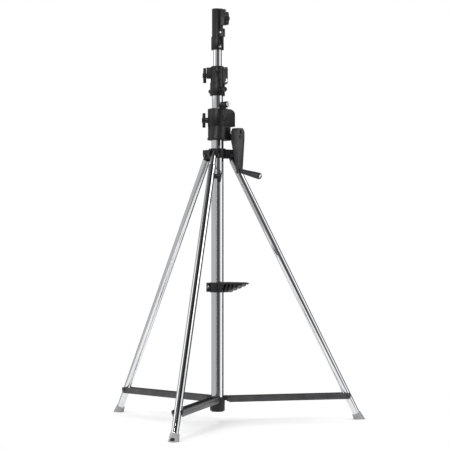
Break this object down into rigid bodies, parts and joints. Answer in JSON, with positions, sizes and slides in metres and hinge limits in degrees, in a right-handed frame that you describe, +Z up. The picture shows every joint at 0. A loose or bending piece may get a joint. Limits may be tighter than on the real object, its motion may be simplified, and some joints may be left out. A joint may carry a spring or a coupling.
{
  "type": "crank lighting stand",
  "caption": "Wind-up lighting stand: three chrome tube sections lifted by a hand crank, folding tripod with spreader, levelling leg and spigot socket.",
  "frame": {"origin": "on the floor, on the column's axis", "axes": "+Z up along the column, +X along the crank's axis towards the grip, +Y towards the rack side of the gearbox"},
  "size_m": [0.9569, 1.099, 1.67],
  "materials": {
    "chrome_tube": "polished chrome plate",
    "black_casting": "black satin powder coat on cast aluminium",
    "black_steel": "black satin paint on pressed steel",
    "black_plastic": "black moulded nylon",
    "grip_plastic": "black moulded grip",
    "bright_steel": "zinc plated steel",
    "gear_steel": "machined steel, greased",
    "bronze": "sintered bronze",
    "nylon": "natural nylon",
    "grey_rubber": "grey moulded rubber"
  },
  "bodies": {
    "column": {"column_tube": "chrome_tube", "column_end_plug": "black_plastic", "column_top_bush": "black_plastic", "leg_collar": "black_casting", "leg_pivot_bolts": "black_steel", "gearbox_base": "black_casting", "gearbox_cover": "black_casting", "gearbox_screws": "bright_steel", "shaft_bushings": "bronze", "brake_housing": "black_casting", "release_housing": "black_casting", "foot_step": "black_casting", "foot_step_screw": "bright_steel"},
    "riser_1": {"riser_1_tube": "chrome_tube", "riser_1_rack": "gear_steel", "riser_1_shoe": "nylon", "clamp_body": "black_casting", "clamp_bush": "black_plastic"},
    "riser_2": {"riser_2_tube": "chrome_tube", "riser_2_shoe": "nylon", "head_socket": "black_casting", "head_screws": "bright_steel"},
    "crank": {"crank_shaft": "gear_steel", "crank_arm": "black_steel", "crank_bolt": "black_steel", "crank_spindle": "bright_steel"},
    "crank_grip": {"crank_grip": "grip_plastic"},
    "gear_train": {"drive_gear": "gear_steel", "pinion_shaft": "gear_steel"},
    "release_button": {"release_button": "bright_steel"},
    "hub": {"hub_sleeve": "black_casting", "hub_pivot_pins": "black_steel"},
    "brace_left": {"brace_left": "black_steel", "brace_rivets_left": "black_steel"},
    "brace_right": {"brace_right": "black_steel", "brace_rivets_right": "black_steel"},
    "brace_levelling": {"brace_levelling": "black_steel", "brace_rivets_levelling": "black_steel"},
    "leg_left": {"leg_tube_left": "chrome_tube", "leg_eye_left": "black_casting", "foot_left": "grey_rubber"},
    "leg_right": {"leg_tube_right": "chrome_tube", "leg_eye_right": "black_casting", "foot_right": "grey_rubber"},
    "leg_levelling": {"leg_eye_levelling": "black_casting", "inner_leg_tube": "chrome_tube"},
    "leg_extension": {"leg_tube_levelling": "chrome_tube", "inner_leg_bush": "black_plastic", "levelling_boss": "black_casting", "foot_levelling": "grey_rubber"},
    "gearbox_knob": {"gearbox_knob": "black_plastic", "gearbox_knob_screw": "bright_steel"},
    "clamp_knob": {"clamp_knob": "black_plastic", "clamp_knob_screw": "bright_steel"},
    "head_knob": {"head_knob": "black_plastic", "head_knob_screw": "bright_steel"},
    "levelling_knob": {"levelling_knob": "black_plastic", "levelling_knob_screw": "bright_steel"},
    "clamp_lever": {"clamp_lever": "black_steel"},
    "clamp_plunger": {"clamp_plunger": "black_plastic"}
  },
  "joints": [
    {"name": "riser_1_slide", "type": "slide", "parent": "column", "child": "riser_1", "axis": [0, 0, 1], "range_m": [0, 1.015]},
    {"name": "riser_2_slide", "type": "slide", "parent": "riser_1", "child": "riser_2", "axis": [0, 0, 1], "range_m": [0, 1.015]},
    {"name": "crank_turn", "type": "hinge", "parent": "column", "child": "crank", "pos_m": [0, 0.0515, 1.155], "axis": [1, 0, 0], "range_deg": [0, 17450]},
    {"name": "gear_turn", "type": "hinge", "parent": "column", "child": "gear_train", "pos_m": [0, 0.03105, 1.18463], "axis": [1, 0, 0], "range_deg": [-5820, 0]},
    {"name": "grip_spin", "type": "hinge", "parent": "crank", "child": "crank_grip", "pos_m": [0.081, 0.0515, 1.016], "axis": [0.9744, 0, -0.225], "continuous": true},
    {"name": "hub_slide", "type": "slide", "parent": "column", "child": "hub", "axis": [0, 0, 1], "range_m": [0, 0.38]},
    {"name": "leg_left_fold", "type": "hinge", "parent": "column", "child": "leg_left", "pos_m": [-0.0553, 0, 1.078], "axis": [0, -1, 0], "range_deg": [0, 21.6]},
    {"name": "brace_left_fold", "type": "hinge", "parent": "hub", "child": "brace_left", "pos_m": [-0.045, 0, 0.1024], "axis": [0, -1, 0], "range_deg": [0, 77.1]},
    {"name": "leg_right_fold", "type": "hinge", "parent": "column", "child": "leg_right", "pos_m": [0.02765, 0.04789, 1.078], "axis": [-0.866, 0.5, 0], "range_deg": [0, 21.6]},
    {"name": "brace_right_fold", "type": "hinge", "parent": "hub", "child": "brace_right", "pos_m": [0.0225, 0.03897, 0.1024], "axis": [-0.866, 0.5, 0], "range_deg": [0, 77.1]},
    {"name": "leg_levelling_fold", "type": "hinge", "parent": "column", "child": "leg_levelling", "pos_m": [0.02765, -0.04789, 1.078], "axis": [0.866, 0.5, 0], "range_deg": [0, 21.6]},
    {"name": "brace_levelling_fold", "type": "hinge", "parent": "hub", "child": "brace_levelling", "pos_m": [0.0225, -0.03897, 0.1024], "axis": [0.866, 0.5, 0], "range_deg": [0, 77.1]},
    {"name": "levelling_slide", "type": "slide", "parent": "leg_levelling", "child": "leg_extension", "axis": [0.2271, -0.3934, -0.8909], "range_m": [0, 0.15]},
    {"name": "gearbox_knob_turn", "type": "hinge", "parent": "column", "child": "gearbox_knob", "pos_m": [-0.03345, -0.03345, 1.221], "axis": [-0.7071, -0.7071, 0], "range_deg": [0, 360]},
    {"name": "clamp_knob_turn", "type": "hinge", "parent": "riser_1", "child": "clamp_knob", "pos_m": [-0.03132, -0.03132, 1.4015], "axis": [-0.7071, -0.7071, 0], "range_deg": [0, 360]},
    {"name": "head_knob_turn", "type": "hinge", "parent": "riser_2", "child": "head_knob", "pos_m": [0.03109, 0.0145, 1.63], "axis": [0.9063, 0.4226, 0], "range_deg": [0, 360]},
    {"name": "levelling_knob_turn", "type": "hinge", "parent": "leg_extension", "child": "levelling_knob", "pos_m": [0.0726, -0.07314, 0.99105], "axis": [0.866, 0.5, 0], "range_deg": [0, 360]},
    {"name": "clamp_lever_swing", "type": "hinge", "parent": "riser_1", "child": "clamp_lever", "pos_m": [0.03111, 0.01131, 1.426], "axis": [0.7071, -0.7071, 0], "range_deg": [0, 70]},
    {"name": "clamp_plunger_pull", "type": "slide", "parent": "riser_1", "child": "clamp_plunger", "axis": [0.9659, -0.2588, 0], "range_m": [0, 0.006], "stiffness_N_per_m": 1200, "springref_m": -0.004},
    {"name": "release_button_push", "type": "slide", "parent": "column", "child": "release_button", "axis": [-1, 0, 0], "range_m": [0, 0.0035], "stiffness_N_per_m": 1200, "springref_m": -0.003}
  ],
  "couplings": [
    {"joint": "crank_turn", "follows": "riser_1_slide", "rad_per_m": 300},
    {"joint": "gear_turn", "follows": "riser_1_slide", "rad_per_m": -100},
    {"joint": "leg_left_fold", "follows": "hub_slide", "rad_per_m": 0.98742},
    {"joint": "brace_left_fold", "follows": "hub_slide", "rad_per_m": 3.5291},
    {"joint": "leg_right_fold", "follows": "hub_slide", "rad_per_m": 0.98742},
    {"joint": "brace_right_fold", "follows": "hub_slide", "rad_per_m": 3.5291},
    {"joint": "leg_levelling_fold", "follows": "hub_slide", "rad_per_m": 0.98742},
    {"joint": "brace_levelling_fold", "follows": "hub_slide", "rad_per_m": 3.5291}
  ]
}
